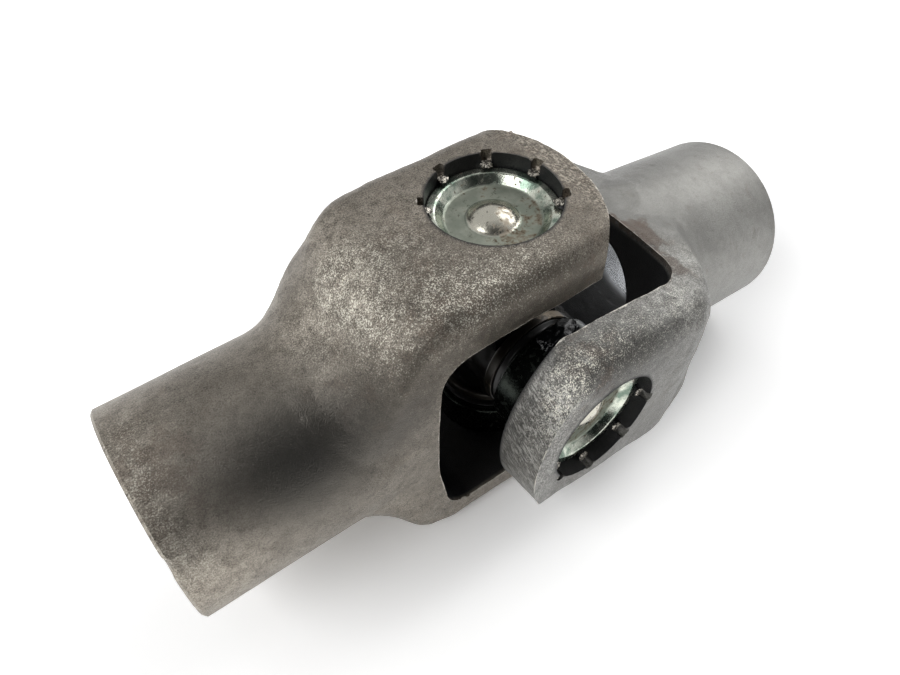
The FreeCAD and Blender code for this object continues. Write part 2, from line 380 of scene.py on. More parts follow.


# %% [markdown]
# ## Forged steel
# The forks are drop forgings. Their skin is brownish grey scale with a fine grain, in which glints off bare
# spots are painted as bright specks, more of them where highlights are painted. Painted light makes the tone
# paler in places and painted shade makes it darker in others. Along the left hub a painted dark reflection
# lies on a smoother band, and beside the grease on the right fork the metal is darker and smoother with oil.
# It is brown where it has begun to rust, and bright along convex edges, partly from knocks and partly as a
# painted highlight. Large marks follow the piece, so they are kept on its mesh as numbers, and only the grain
# itself is noise.

# %% Finish of the forks
def forged_steel(name, tone, seed):
    """Scale over forged steel. The grain darkens and lightens the tone; bare spots get painted glints."""
    f = Finish(name)
    # The oil mark is oil on the right fork and a painted dark reflection on the left hub. The bright mark places
    # painted highlights, the pale and dark marks paint light and shade, and the black mark paints shade into the
    # recesses.
    oil, rust, bright, edge, black, smooth, dark, pale, ground, bore = [
        f.read(word) for word in ("oil", "rust", "bright", "edge", "black", "smooth", "dark", "pale",
                                  "ground", "bore")]
    grain = f.noise(0.24, 3.0, 0.6, seed) * 0.68 + f.noise(1.6, 5.0, 0.75, seed + 5) * 0.32
    fine = f.noise(0.16, 2.0, 0.5, seed + 1)
    blotch = f.noise(4.0, 5.0, 0.68, seed + 2)
    cloud = f.noise(18.0, 3.0, 0.55, seed + 3)
    brown = f.noise(3.2, 5.0, 0.65, seed + 4)
    streak = f.streaks(0.35, 9.0, (0.5, 0.0, 0.2))
    coarse = 1.0 - smooth * 0.75

    def times(share, warm=1.0):
        return tuple(share * t * w for t, w in zip(tone, (warm, 1.0, 1.0 / warm)))

    base = f.mix(f.step(cloud, 0.32, 0.68), times(0.80), times(1.15))
    # Painted light: the tone is paler where light falls strongly.
    base = f.mix(pale, base, times(1.9))
    base = f.mix(f.step(blotch, 0.44, 0.58) * 0.62 * coarse, base, times(0.46, 1.06))
    # Painted shade: the tone is darker where shade falls.
    base = f.mix(dark * 0.8, base, times(0.30, 1.05))
    rusty = f.step(brown + rust * 0.20, 0.57, 0.70) * (0.20 + rust * 0.60)
    base = f.mix(rusty, base, (0.135, 0.084, 0.055))
    speck = f.step(grain, 0.38, 0.62)
    base = f.mix((1.0 - speck) * coarse * 0.85, base, times(0.36))
    base = f.mix(speck * coarse * (0.40 - dark * 0.3), base, times(1.5))
    # Painted glints: bright specks that stand for highlights off bare grains, many more of them at the bright
    # marks, which are painted highlights.
    painted_glint = f.step(grain + bright * 0.07, 0.57, 0.68) * coarse * (0.12 + bright * 0.75)
    base = f.mix(painted_glint, base, (0.86, 0.84, 0.73))
    pit = f.step(grain, 0.41, 0.35) * coarse
    base = f.mix(pit * 0.75, base, (0.038, 0.032, 0.028))
    base = f.mix(ground * f.step(streak, 0.50, 0.62) * 0.5, base, times(2.4))
    base = f.mix(ground * f.step(streak, 0.46, 0.36) * 0.6, base, times(0.35))
    # Oil darkens the tone beside the grease; on the left hub this darkening is a painted dark reflection.
    base = f.mix(oil, base, (0.055, 0.054, 0.051))
    # Bright along convex edges: partly wear from knocks, partly a painted highlight such as a rounded edge catches.
    wear_and_painted_highlight = f.step(edge + (fine - 0.5) * 0.8 + (blotch - 0.5) * 1.6, 0.72, 0.98)
    base = f.mix(wear_and_painted_highlight * 0.75, base, (0.80, 0.76, 0.68))
    base = f.mix(bore, base, (0.33, 0.34, 0.355))
    # Painted shade: the crotch's inner faces and the deeper bores are painted nearly black.
    base = f.mix(black, base, (0.004, 0.004, 0.005))
    rough = 0.42 + pit * 0.2 - painted_glint * 0.08 + rusty * 0.18 - oil * 0.04 - wear_and_painted_highlight * 0.08 - smooth * 0.04
    rough = f.blend(bore, rough, 0.24)
    rough = f.blend(black, rough, 0.5)
    metal = f.blend(black, 0.92 - rusty * 0.4 - pit * 0.3, 0.0)
    relief = f.bump(grain, 0.20, 0.9)
    relief = f.bump(fine, 0.03, 0.5, relief)
    return f.surface(Base_Color=base, Roughness=rough, Metallic=metal, Normal=relief)


fork_finish = {"left": forged_steel("forged_steel_left", (0.315, 0.284, 0.240), 0.0),
               "right": forged_steel("forged_steel_right", (0.245, 0.242, 0.228), 0.7)}

# %% [markdown]
# ## Skins of the forgings
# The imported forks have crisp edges, but a forging's edges are blunt and its faces are never quite flat.
# A copy of each fork is merged, remeshed in cells of about half a millimetre, laid back on the first
# surface with Shrinkwrap and lightly smoothed. Numpy then adds what forging, trimming and use left:
# a slow waviness, small dents and pits, and a nick in the end of the left hub.

# %% Remeshing
def loose_object(name, mesh):
    thing = bpy.data.objects.new(name, mesh)
    bpy.context.scene.collection.objects.link(thing)
    return thing


def edge_points(mesh, least_degrees=32.0, gap_mm=0.1):
    """Points along every crisp edge of a mesh: a + (b - a) * share, at even shares, for all edges at once."""
    work = bmesh.new()
    work.from_mesh(mesh)
    crisp = [edge for edge in work.edges
             if len(edge.link_faces) == 2 and edge.calc_face_angle() > math.radians(least_degrees)]
    a, b = [np.array([edge.verts[end].co for edge in crisp]) for end in (0, 1)]
    work.free()
    counts = np.ceil(np.linalg.norm(b - a, axis=1) / (gap_mm * MM)).astype(int) + 1
    first = np.repeat(np.cumsum(counts) - counts, counts)
    share = (np.arange(counts.sum()) - first) / np.repeat(np.maximum(counts - 1, 1), counts)
    points = np.repeat(a, counts, 0) + np.repeat(b - a, counts, 0) * share[:, None]
    target = bpy.data.meshes.new("edge_points")
    target.from_pydata(points.tolist(), [], [])
    return target


def worked_out(thing):
    """The mesh that an object's modifiers make."""
    bpy.context.view_layer.update()
    return bpy.data.meshes.new_from_object(thing.evaluated_get(bpy.context.evaluated_depsgraph_get()))


def split_along(mesh, marked):
    """Cut quads into triangles: along the diagonal whose two corners are marked, otherwise the shorter."""
    work = bmesh.new()
    work.from_mesh(mesh)
    work.verts.ensure_lookup_table()
    for face in [face for face in work.faces if len(face.verts) == 4]:
        a, b, c, d = face.verts
        first, second = marked[a.index] and marked[c.index], marked[b.index] and marked[d.index]
        if first == second:
            first = (a.co - c.co).length < (b.co - d.co).length
        corners = ((a, b, c), (a, c, d)) if first else ((a, b, d), (b, c, d))
        work.faces.remove(face)
        for three in corners:
            if work.faces.get(three) is None:
                work.faces.new(three)
    work.to_mesh(mesh)
    work.free()
    mesh.update()


def remeshed(name, node, cell_mm, smoothing):
    """A copy of a node's mesh: merged, remeshed in even cells, laid back on itself and smoothed. Points
    within 0.72 of a cell of a crisp edge then move onto it, which keeps the edge as crisp as it was."""
    guide = loose_object(name + "_guide", merged(frame["nodes"][node].data.copy()))
    crisp = loose_object(name + "_crisp", edge_points(guide.data))
    skin = loose_object(name + "_work", guide.data.copy())
    cells = skin.modifiers.new("cells", "REMESH")
    cells.mode = "VOXEL"
    cells.voxel_size = cell_mm * MM
    lay = skin.modifiers.new("lay", "SHRINKWRAP")
    lay.wrap_method = "NEAREST_SURFACEPOINT"
    lay.target = guide
    soften = skin.modifiers.new("soften", "SMOOTH")
    soften.factor = 0.5
    soften.iterations = smoothing
    mesh = worked_out(skin)
    snap = skin.modifiers.new("snap", "SHRINKWRAP")
    snap.wrap_method = "NEAREST_VERTEX"
    snap.target = crisp
    points, on_edge = points_of(mesh), points_of(worked_out(skin))
    near = np.linalg.norm(points - on_edge, axis=1) < 0.72 * cell_mm * MM
    move_points(mesh, np.where(near[:, None], on_edge, points))
    split_along(mesh, near)
    for thing in (skin, guide, crisp):
        bpy.data.objects.remove(thing)
    mesh.name = name
    return mended(merged(mesh, 0.12 * cell_mm * MM))


def mended(mesh):
    """Take away faces that stand off an edge as a fin, and fill what small holes are left."""
    work = bmesh.new()
    work.from_mesh(mesh)
    for _ in range(3):
        fins = [face for face in work.faces if any(len(edge.link_faces) > 2 for edge in face.edges)
                and any(len(edge.link_faces) == 1 for edge in face.edges)]
        bmesh.ops.delete(work, geom=fins, context="FACES")
    bmesh.ops.holes_fill(work, edges=[edge for edge in work.edges if len(edge.link_faces) == 1], sides=6)
    bmesh.ops.recalc_face_normals(work, faces=work.faces)
    print(mesh.name, "edges off", sum(len(edge.link_faces) != 2 for edge in work.edges))
    work.to_mesh(mesh)
    work.free()
    mesh.update()
    return mesh


def bend(mesh, spread=3):
    """How sharply the surface bends out (+) or in (-) at each point: the mean of its neighbours minus
    the point, along the normal, over the cell's size, evened out over a few rounds."""
    edges = np.empty(len(mesh.edges) * 2, int)
    mesh.edges.foreach_get("vertices", edges)
    a, b = edges.reshape(-1, 2).T
    points, normals = points_of(mesh), normals_of(mesh)
    count = np.bincount(a, minlength=len(points)) + np.bincount(b, minlength=len(points))

    def around(values):
        total = np.zeros_like(values)
        np.add.at(total, a, values[b])
        np.add.at(total, b, values[a])
        return total / (count[:, None] if values.ndim > 1 else count)

    size = np.linalg.norm(points[a] - points[b], axis=1).mean()
    value = -((around(points) - points) * normals).sum(axis=1) / size
    for _ in range(spread):
        value = 0.5 * value + 0.5 * around(value)
    return value


# %% [markdown]
# ## Marks by their place in the picture
# A mark such as the painted dark reflection along the left hub is given by pixels of the photograph. A line
# of sight through each pixel meets the fork's skin at one point, and the mark fades out round that point over
# some millimetres.

# %% Marks
def seen_point(piece_mesh, pixel):
    """Where the line of sight through a pixel first meets a mesh."""
    thing = loose_object("probe", piece_mesh)
    bpy.context.view_layer.update()
    hit, where, _, _ = thing.ray_cast(pose.translation, Vector(sight_line(pixel)).normalized())
    bpy.data.objects.remove(thing)
    return np.array(where) if hit else None


def marks(mesh, points, spots):
    """Sum of round spots (x, y, reach_mm, strength): strength times exp(-(distance / reach)^2)."""
    total = np.zeros(len(points))
    for x, y, reach, strength in spots:
        where = seen_point(mesh, (x, y))
        if where is None:
            print("no surface at pixel", x, y)
            continue
        distance = np.linalg.norm(points - where, axis=1) / MM
        total += strength * np.exp(-(distance / reach) ** 2)
    return np.clip(total, 0, 1)


# Spots by pixel: x, y, reach and strength. On the left hub the oil spots paint a dark reflection, on the right fork
# they are oil. Bright spots place painted highlights, pale spots painted light, dark spots painted shade.
fork_marks = {
    "left": {"oil": [(190, 490, 13, 0.20), (240, 465, 14, 0.24), (290, 450, 14, 0.28), (340, 440, 14, 0.30),
                     (380, 420, 10, 0.15), (320, 490, 13, 0.24)],
             "bright": [(370, 260, 7, 0.6), (345, 285, 6, 0.9), (310, 345, 7, 0.6), (370, 320, 6, 0.8),
                        (445, 292, 6, 0.9), (480, 300, 7, 0.4), (400, 360, 7, 0.4), (120, 440, 5, 0.7),
                        (140, 480, 4, 0.7), (330, 270, 6, 0.5), (500, 265, 7, 0.5), (545, 255, 6, 0.5),
                        (420, 235, 6, 0.4), (160, 520, 5, 0.7), (190, 565, 6, 0.8)],
             "pale": [(322, 240, 5, 0.9), (342, 275, 5, 0.9), (360, 305, 5, 0.8), (345, 330, 5, 0.7),
                      (310, 340, 6, 0.5), (395, 320, 5, 0.4), (285, 320, 6, 0.3), (125, 440, 7, 0.4),
                      (150, 515, 8, 0.6), (180, 570, 11, 1.0), (445, 290, 4, 0.4), (230, 570, 8, 0.4),
                      (300, 555, 9, 0.25), (520, 262, 6, 0.2), (395, 215, 7, 0.35), (110, 415, 6, 0.4)],
             "dark": [(540, 300, 7, 0.8), (585, 280, 6, 0.8), (495, 325, 7, 0.7), (430, 375, 9, 0.7),
                      (560, 285, 5, 0.6), (515, 315, 5, 0.6), (470, 265, 8, 0.25),
                      (400, 420, 9, 0.5), (470, 150, 9, 0.15), (540, 160, 9, 0.2), (385, 200, 8, 0.1),
                      (600, 225, 6, 0.3), (420, 305, 5, 0.4), (350, 370, 8, 0.35), (375, 450, 10, 0.4),
                      (420, 250, 6, 0.25), (440, 480, 8, 0.35), (290, 300, 7, 0.3)],
             "rust": [(455, 305, 6, 0.6), (410, 330, 7, 0.4), (380, 230, 7, 0.4), (140, 450, 8, 0.5),
                      (170, 500, 8, 0.6), (590, 270, 6, 0.5), (350, 390, 8, 0.5), (500, 145, 8, 0.6),
                      (430, 260, 6, 0.4), (580, 190, 7, 0.6)],
             "smooth": [(250, 460, 13, 0.3), (300, 480, 13, 0.35), (335, 470, 11, 0.3), (430, 480, 9, 0.4)]},
    "right": {"oil": [(560, 345, 4, 0.4)],
              "bright": [(576, 365, 4, 1.0), (568, 385, 4, 1.0), (560, 405, 4, 0.9), (640, 330, 7, 0.5),
                         (680, 300, 7, 0.6), (610, 345, 5, 0.6), (545, 430, 5, 0.5), (530, 450, 5, 0.4),
                         (527, 480, 5, 0.5), (690, 250, 6, 0.5)],
              "pale": [(720, 200, 20, 0.38), (750, 250, 16, 0.30), (700, 160, 13, 0.2), (676, 290, 7, 0.9),
                       (695, 260, 6, 0.8), (574, 370, 4, 0.9), (564, 400, 4, 0.7), (660, 310, 6, 0.5),
                       (550, 480, 5, 0.5), (580, 450, 4, 0.3)],
              "dark": [(625, 365, 6, 0.8), (655, 350, 6, 0.6), (598, 382, 4, 0.8), (680, 340, 7, 0.3),
                       (600, 345, 4, 0.4),
                       (525, 420, 5, 0.4), (510, 450, 5, 0.3), (640, 430, 7, 0.25)],
              "rust": [(575, 345, 4, 0.7), (655, 240, 3, 0.9), (640, 225, 3, 0.9), (680, 270, 5, 0.3),
                       (600, 380, 5, 0.5), (625, 350, 6, 0.3), (545, 400, 5, 0.5)],
              "smooth": [(700, 200, 20, 0.9), (740, 250, 18, 0.9), (650, 190, 13, 0.8), (720, 160, 13, 0.9),
                         (660, 400, 9, 0.6), (630, 430, 7, 0.5), (620, 200, 9, 0.7)]},
}

# %% [markdown]
# ## The two forks
# Chance pits are spread over the skin. Shade is painted nearly black on the crotch's inner faces and in the
# bores; this mark follows the fork's own directions and grows towards the inner faces.

# %% Fork skins
cell_mm = 0.56
bore_radius = 12.0
ear_face = 32.8
ear_wall = 9.4
hub_reach = 72.6
crotch_depth = 26.0
nick_pixel = (172, 567)


rim_width = {"left": 0.5, "right": 1.6}
ear_half_width = 19.5


def inside_share(own, side):
    """0 outside, 1 on the crotch's inner faces and in the bearing bores, where shade is painted. The hub's bore is
    left out, and so is a narrow rim along the crotch's open sides."""
    x, y, z = own.T
    in_gap = ramp(-np.abs(z), -(ear_face - ear_wall + 0.9), -(ear_face - ear_wall - 0.1))
    in_gap = in_gap * ramp(-x, -(crotch_depth + 0.9), -(crotch_depth + 0.1))
    rim = ear_half_width - rim_width[side]
    in_gap = in_gap * ramp(-np.abs(y), -(rim + 0.5), -(rim - 0.3))
    in_bore = ramp(-np.hypot(x, y), -(bore_radius + 0.30), -(bore_radius + 0.05))
    return np.maximum(in_gap, in_bore)


# Where a forging is fuller (+) or leaner (-) than the plain shape: x, y, z, reach and height.
swellings = {"left": [(30.0, -17.5, 27.5, 7.5, -1.9), (30.0, 17.5, 27.5, 6.0, -0.8)],
             "right": [(31.0, 16.0, 27.5, 7.0, -1.6), (27.0, -8.0, 31.0, 7.0, 1.1),
                       (24.0, -16.0, 30.0, 6.0, 0.5)]}


def fork_skin(side):
    node = side + "_fork"
    axes = fork_axes[side]
    mesh = remeshed(node + "_skin", node, cell_mm, 3)
    sharp = bend(mesh, 1)
    points, normals = points_of(mesh), normals_of(mesh)
    own = to_own(points, axes)
    x, y, z = own.T
    seed = {"left": 3, "right": 11}[side]
    # Where shade is painted nearly black; the relief is kept low there too.
    black = inside_share(own, side)
    free = 1 - 0.8 * black
    hub = ramp(x, 38.0, 44.0)
    height = 0.09 * waves(own, 16.0, seed) * (1 - 0.85 * hub) + 0.03 * waves(own, 5.0, seed + 1) * (1 - 0.9 * hub)
    height += 0.016 * waves(own, 1.9, seed + 2, 60) * (1 - 0.8 * hub)
    for at_x, at_y, at_z, reach, rise in swellings[side]:
        height += rise * np.exp(-((own - (at_x, at_y, at_z)) ** 2).sum(axis=1) / reach ** 2)
    chance = np.random.default_rng(seed + 3)
    for _ in range(140):
        spot = own[chance.integers(len(own))]
        reach, depth = chance.uniform(0.45, 0.9), chance.uniform(0.04, 0.16)
        distance = ((own - spot) ** 2).sum(axis=1)
        height -= depth * np.exp(-distance / reach ** 2)
    tight = ramp(-x, -29.0, -26.0)
    height = height * (1 - tight) + np.minimum(height - 0.08, 0) * tight
    moved = points + normals * (height * free * MM)[:, None]
    if side == "left":
        nick = seen_point(mesh, nick_pixel)
        if nick is not None:
            distance = np.linalg.norm(points - nick, axis=1) / MM
            inward = axes[0] * -1.0
            moved += inward * (0.9 * np.exp(-(distance / 1.3) ** 2) * MM)[:, None]
    placed = {word: marks(mesh, points, spots) for word, spots in fork_marks[side].items()}
    move_points(mesh, moved)
    placed["smooth"] = np.clip(placed["smooth"] + {"left": 0.25, "right": 0.5}[side] * hub, 0, 1)
    placed["bore"] = ramp(-np.hypot(y, z), -15.5, -15.1) * (x > 30)
    # Deeper in the hub's bore the painted shade goes nearly black as well.
    placed["black"] = np.maximum(black, placed["bore"] * ramp(-x, -50.5, -46.5))
    placed["ground"] = ramp(-x, 11.0, 13.5) * (1 - black)
    rim = placed["rust"] * 0
    if side == "right":
        rim = ramp(-np.abs(z), -23.6, -23.0) * ramp(-x, -27.5, -26.5) * (1 - black)
    placed["rust"] = np.clip(placed["rust"] + 0.8 * rim, 0, 1)
    placed["edge"] = np.clip(ramp(sharp, 0.12, 0.36) * (1 - black), 0, 1)
    for word, values in placed.items():
        keep_values(mesh, word, values)
    print(side, {word: round(float(values.mean()), 3) for word, values in placed.items()})
    piece = place_piece(node + "_skin", mesh, side, fork_finish[side], [node])
    print(piece.name, len(mesh.vertices), "points, edge spread", np.percentile(sharp, [1, 50, 99]).round(3))
    return piece


fork_pieces = {side: fork_skin(side) for side in ("left", "right")}

# %% [markdown]
# ## Cups
# Each cup is drawn from sheet steel and zinc plated. Its closed end shows in the ear: a flat rim, a
# dished slope down to a satin floor, and a polished dome in the middle. The half section below has the
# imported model's own sizes with every corner rounded as a press leaves it.

# %% Finish of the cups
def cup_steel():
    f = Finish("cup_steel")
    radius = f.read("radius")
    floor = f.step(radius, 9.1, 8.6) * f.step(radius, 4.6, 5.0)
    dome = f.step(radius, 4.9, 4.5)
    stain = f.noise(3.2, 4.0, 0.6, 0.3)
    spots = f.noise(0.9, 3.0, 0.6, 0.9)
    fine = f.noise(0.25, 2.0, 0.5, 1.7)
    rust = f.step(stain * 0.5 + spots * 0.5 + f.read("rust") * 0.10, 0.56, 0.66)
    tone = f.mix(f.step(stain, 0.36, 0.64), (0.195, 0.262, 0.21), (0.78, 0.81, 0.70))
    tone = f.mix(floor * 0.85, tone, (0.25, 0.265, 0.22))
    tone = f.mix(dome * 0.9, tone, (0.66, 0.63, 0.54))
    tone = f.mix(f.step(spots, 0.60, 0.70) * 0.75, tone, (0.06, 0.054, 0.045))
    tone = f.mix(rust * 0.5, tone, (0.24, 0.157, 0.098))
    # Much darker on the part of the cup that lies deep in the ear, towards the cross.
    tone = f.mix(f.read("dirt"), tone, (0.03, 0.035, 0.03))
    rough = 0.20 + floor * 0.22 + rust * 0.3 + f.step(spots, 0.5, 0.7) * 0.2
    relief = f.bump(fine, 0.02, 0.35)
    relief = f.bump(spots, 0.06, 0.4, relief)
    return f.surface(Base_Color=tone, Roughness=rough, Metallic=0.95, Normal=relief)


cup_finish = cup_steel()

# %% Cups
cup_radius = 11.99
rim_height = 29.7
cup_mouth = 15.3
race_radius = 9.86
floor_height = 28.0
cup_floor = 26.4
slope_top, slope_low = 10.29, 8.69
dome_radius, dome_height = 4.6, 1.7


def dome_curve(radius, height, base, outward):
    """Cap of a ball over its base circle, from the axis out: z = base + height - drop of the ball."""
    ball = (radius ** 2 + height ** 2) / (2 * height)
    r = np.linspace(0, radius, 14)
    z = base + height - ball + np.sqrt(ball ** 2 - r ** 2)
    curve = np.stack([r, z], axis=1)
    return curve if outward else curve[::-1]


def cup_profile():
    top = dome_curve(dome_radius, dome_height, floor_height, True)
    outer = rounded([(dome_radius, floor_height, 0), (dome_radius + 0.5, floor_height - 0.12, 0.3),
                     (slope_low, floor_height, 0.9), (slope_top, rim_height, 0.8),
                     (cup_radius, rim_height, 0.45), (cup_radius, cup_mouth, 0.4),
                     (race_radius, cup_mouth, 0.25), (race_radius, cup_floor, 0.5),
                     (dome_radius - 0.8, cup_floor, 0)], 6)
    inner = dome_curve(dome_radius - 0.8, dome_height, cup_floor, False)
    return closer(np.concatenate([top, outer[1:], inner[1:]]), 0.8)


def make_cup(place):
    axes = trunnion_axes[place]
    mesh = turned("bearing_cup_" + place, cup_profile(), axes, 200)
    own = to_own(points_of(mesh), axes)
    radius = np.hypot(own[:, 0], own[:, 1])
    turn = np.arctan2(own[:, 1], own[:, 0])
    keep_values(mesh, "radius", radius)
    keep_values(mesh, "rust", ramp(np.cos(turn - math.radians(-60)), 0.1, 0.9) * (radius < 8.6))
    # Darker below 24 mm along the axis, fading out by 27 mm.
    keep_values(mesh, "dirt", ramp(-own[:, 2], -27.0, -24.0))
    return place_piece("dished_cup_" + place, mesh, cup_bodies[place], cup_finish,
                       ["bearing_cup_" + place])


cups = [make_cup(place) for place in trunnion_turns]
print("cups", len(cups), "points each", len(cups[0].data.vertices))

# %% [markdown]
# ## Seals and their retainers
# Between each cup and the cross lies a rubber ring in a pressed steel retainer. They are black with
# grease, so their finish is dark and glossy with a little uneven film.

# %% Greasy finishes
def greasy(name, tone, metal, rough, film):
    f = Finish(name)
    patch = f.noise(2.6, 3.0, 0.6, 0.4)
    fine = f.noise(0.3, 2.0, 0.5, 0.8)
    clean = f.step(patch + f.read("clean") * 0.4, 0.64, 0.78)
    colour = f.mix(clean, tuple(0.12 * t for t in tone), tone)
    relief = f.bump(patch, film, 0.5)
    relief = f.bump(fine, 0.02, 0.3, relief)
    return f.surface(Base_Color=colour, Roughness=f.blend(clean, rough, rough + 0.15),
                     Metallic=metal, Coat_Weight=0.15, Normal=relief)


finishes = {
    "cross_steel": greasy("cross_steel", (0.11, 0.10, 0.09), 0.7, 0.3, 0.12),
    "plated_steel": greasy("plated_steel", (0.24, 0.20, 0.15), 0.6, 0.34, 0.05),
    "needle_steel": greasy("needle_steel", (0.45, 0.44, 0.42), 0.95, 0.2, 0.02),
    "seal_rubber": greasy("seal_rubber", (0.028, 0.027, 0.026), 0.0, 0.35, 0.05),
    "thrust_plastic": greasy("thrust_plastic", (0.60, 0.56, 0.45), 0.0, 0.4, 0.02),
}

# %% Seals and retainers
seat_height = 10.9
retainer_radius, retainer_wall, retainer_height = 10.8, 0.6, 2.2
trunnion_radius = 7.3
fit = 0.05
seal_top = cup_mouth - 0.08
seal_lip, seal_waist = 11.2, 9.3


def make_seal(place):
    inner = trunnion_radius + fit
    foot = retainer_radius - retainer_wall - fit
    low = seat_height + retainer_wall
    waist_low = seat_height + retainer_height + fit
    profile = rounded([(inner, low, 0), (foot, low, 0.3), (foot, waist_low, 0.4),
                       (seal_waist, 0.5 * (waist_low + seal_top), 0.5), (seal_lip, seal_top, 0.18),
                       (inner, seal_top, 0)], 4)
    mesh = turned("seal_ring_" + place, closer(profile, 0.7), trunnion_axes[place], 120, closed=True)
    return place_piece("seal_ring_" + place, mesh, "spider", finishes["seal_rubber"],
                       ["seal_" + place])


def make_retainer(place):
    hole = trunnion_radius + fit
    high = seat_height + retainer_height
    wall_in = retainer_radius - retainer_wall
    profile = rounded([(hole, seat_height, 0), (retainer_radius, seat_height, 0.55),
                       (retainer_radius, high, 0.25), (wall_in, high, 0.25),
                       (wall_in, seat_height + retainer_wall, 0.2), (hole, seat_height + retainer_wall, 0)], 4)
    mesh = turned("retainer_" + place, closer(profile, 0.7), trunnion_axes[place], 120, closed=True)
    own = to_own(points_of(mesh), trunnion_axes[place])
    rubbed = np.exp(-((own - (5.6, 9.2, 12.2)) ** 2).sum(axis=1) / 3.0 ** 2)
    keep_values(mesh, "clean", rubbed * (place == "near"))
    return place_piece("pressed_ring_" + place, mesh, "spider", finishes["plated_steel"],
                       ["seal_retainer_" + place])


rings = [make(place) for place in trunnion_turns for make in (make_seal, make_retainer)]
print("rings", len(rings))

# %% [markdown]
# ## The cross
# The cross is a forging too, ground only where the needles run. It gets the same kind of skin as the
# forks, and a dark greasy finish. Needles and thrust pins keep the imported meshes.

# %% Cross, needles and pins
cross_mesh = remeshed("cross_skin", "cross", 0.5, 4)
cross_points = points_of(cross_mesh)
cross_own = to_own(cross_points, trunnion_axes["top"])
rough_part = ramp(-np.abs(cross_own).max(axis=1), -10.6, -9.4)
lift = 0.07 * waves(cross_own, 5.0, 21) * rough_part
move_points(cross_mesh, cross_points + normals_of(cross_mesh) * (lift * MM)[:, None])
place_piece("cross_skin", cross_mesh, "spider", finishes["cross_steel"], ["cross"])

for name, node in frame["nodes"].items():
    for word, finish in (("needles", "needle_steel"), ("thrust_pin", "thrust_plastic")):
        if name.startswith(word):
            node.data.materials.clear()
            node.data.materials.append(finishes[finish])

# %% [markdown]
# ## Punched burrs
# After the cups were pressed in, eight punch blows round each bore pushed lips of the ear over the rim.
# The metal tore: each lip is a short bent tongue with a ragged end. A tongue is a sheet with a thickness,
# bent down along its length, and chance numbers make each one different.

# %% Finish and shape of the burrs
def torn_steel():
    f = Finish("torn_steel")
    grain = f.noise(0.35, 3.0, 0.6, 2.2)
    tone = f.mix(f.step(grain, 0.42, 0.62), (0.07, 0.064, 0.058), (0.80, 0.76, 0.66))
    return f.surface(Base_Color=tone, Roughness=0.38, Metallic=0.9, Normal=f.bump(grain, 0.05, 0.8))


burr_finish = torn_steel()
stake_turns = {"top": 149.0, "bottom": 40.0, "near": -132.0, "far": -150.0}
stake_deep = {"top": 5, "bottom": 5, "near": 4, "far": 5}
stake_count = 8
lip_low = rim_height + 0.03


def tongue(chance, length, width, thick):
    """Closed grid of a torn tongue: u runs from root to tip, v goes once round its flat section. The
    height falls by bend * u^2, and the width and the tip are ragged."""
    rows, columns = 9, 16
    u = np.linspace(0, 1, rows)[:, None]
    v = np.arange(columns)[None, :] / columns * 2 * math.pi
    ragged = 1 + 0.16 * chance.normal(size=(rows, 1)) + 0.05 * chance.normal(size=(rows, columns))
    narrow = np.sqrt(np.clip(1 - (u * 0.97) ** 6, 0, 1))
    across = 0.5 * width * ragged * narrow * np.sign(np.cos(v)) * np.abs(np.cos(v)) ** 0.6
    out = -length * u * (1 + 0.10 * chance.normal(size=(1, columns)))
    height = 0.5 * thick * (1 - 0.5 * u) * narrow * np.sin(v) + 0.25 * (1 - u ** 2)
    height = height + 0.05 * chance.normal(size=(rows, columns)) * u
    grid = np.stack([out + 0 * v, across, height + 0 * v], axis=-1)
    ends = [grid[:1].mean(axis=1, keepdims=True), grid[-1:].mean(axis=1, keepdims=True)]
    return np.concatenate([np.repeat(ends[0], columns, 1), grid, np.repeat(ends[1], columns, 1)])


def fork_bore_axes(place):
    """Directions of one bore in its fork's own turn: z out of the ear, x along the hub."""
    rows = fork_axes[cup_bodies[place]]
    if place in ("top", "near"):
        return rows
    return np.array([rows[0], -rows[1], -rows[2]])


def make_burrs(place):
    chance = np.random.default_rng({"top": 5, "bottom": 6, "near": 7, "far": 8}[place])
    work = bmesh.new()
    axes = fork_bore_axes(place)
    for n in range(stake_count):
        angle = math.radians(stake_turns[place] + n * 360.0 / stake_count)
        deep = n < stake_deep[place]
        grid = tongue(chance, chance.uniform(1.2, 1.7) if deep else 0.7, chance.uniform(1.5, 2.1), 0.42)
        grid[..., 0] += bore_radius + 0.25
        grid[..., 2] += lip_low + 0.75
        c, s = math.cos(angle), math.sin(angle)
        x, y, z = grid[..., 0], grid[..., 1], grid[..., 2]
        grid = np.stack([c * x - s * y, s * x + c * y, z], axis=-1)
        work.from_mesh(merged(mesh_from_grid("tongue", to_world(grid, axes), wrap_columns=True)))
    mesh = bpy.data.meshes.new("punched_burrs_" + place)
    work.to_mesh(mesh)
    work.free()
    return place_piece("punched_burrs_" + place, mesh, cup_bodies[place],
                       burr_finish)


burrs = [make_burrs(place) for place in trunnion_turns]
print("burrs", sum(len(piece.data.vertices) for piece in burrs), "points")

# %% [markdown]
# ## Grease
# Old grease has been squeezed out beside the near cup, a black wet lump with small bright glints. It is
# a ball whose radius follows a few waves, pressed flat against the ring that it hangs on.

# %% Grease lump
def wet_grease():
    f = Finish("wet_grease")
    lumps = f.noise(0.8, 3.0, 0.6, 1.2)
    return f.surface(Base_Color=(0.004, 0.0045, 0.005), Roughness=0.12, Specular_IOR_Level=0.35,
                     Normal=f.bump(lumps, 0.15, 0.8))


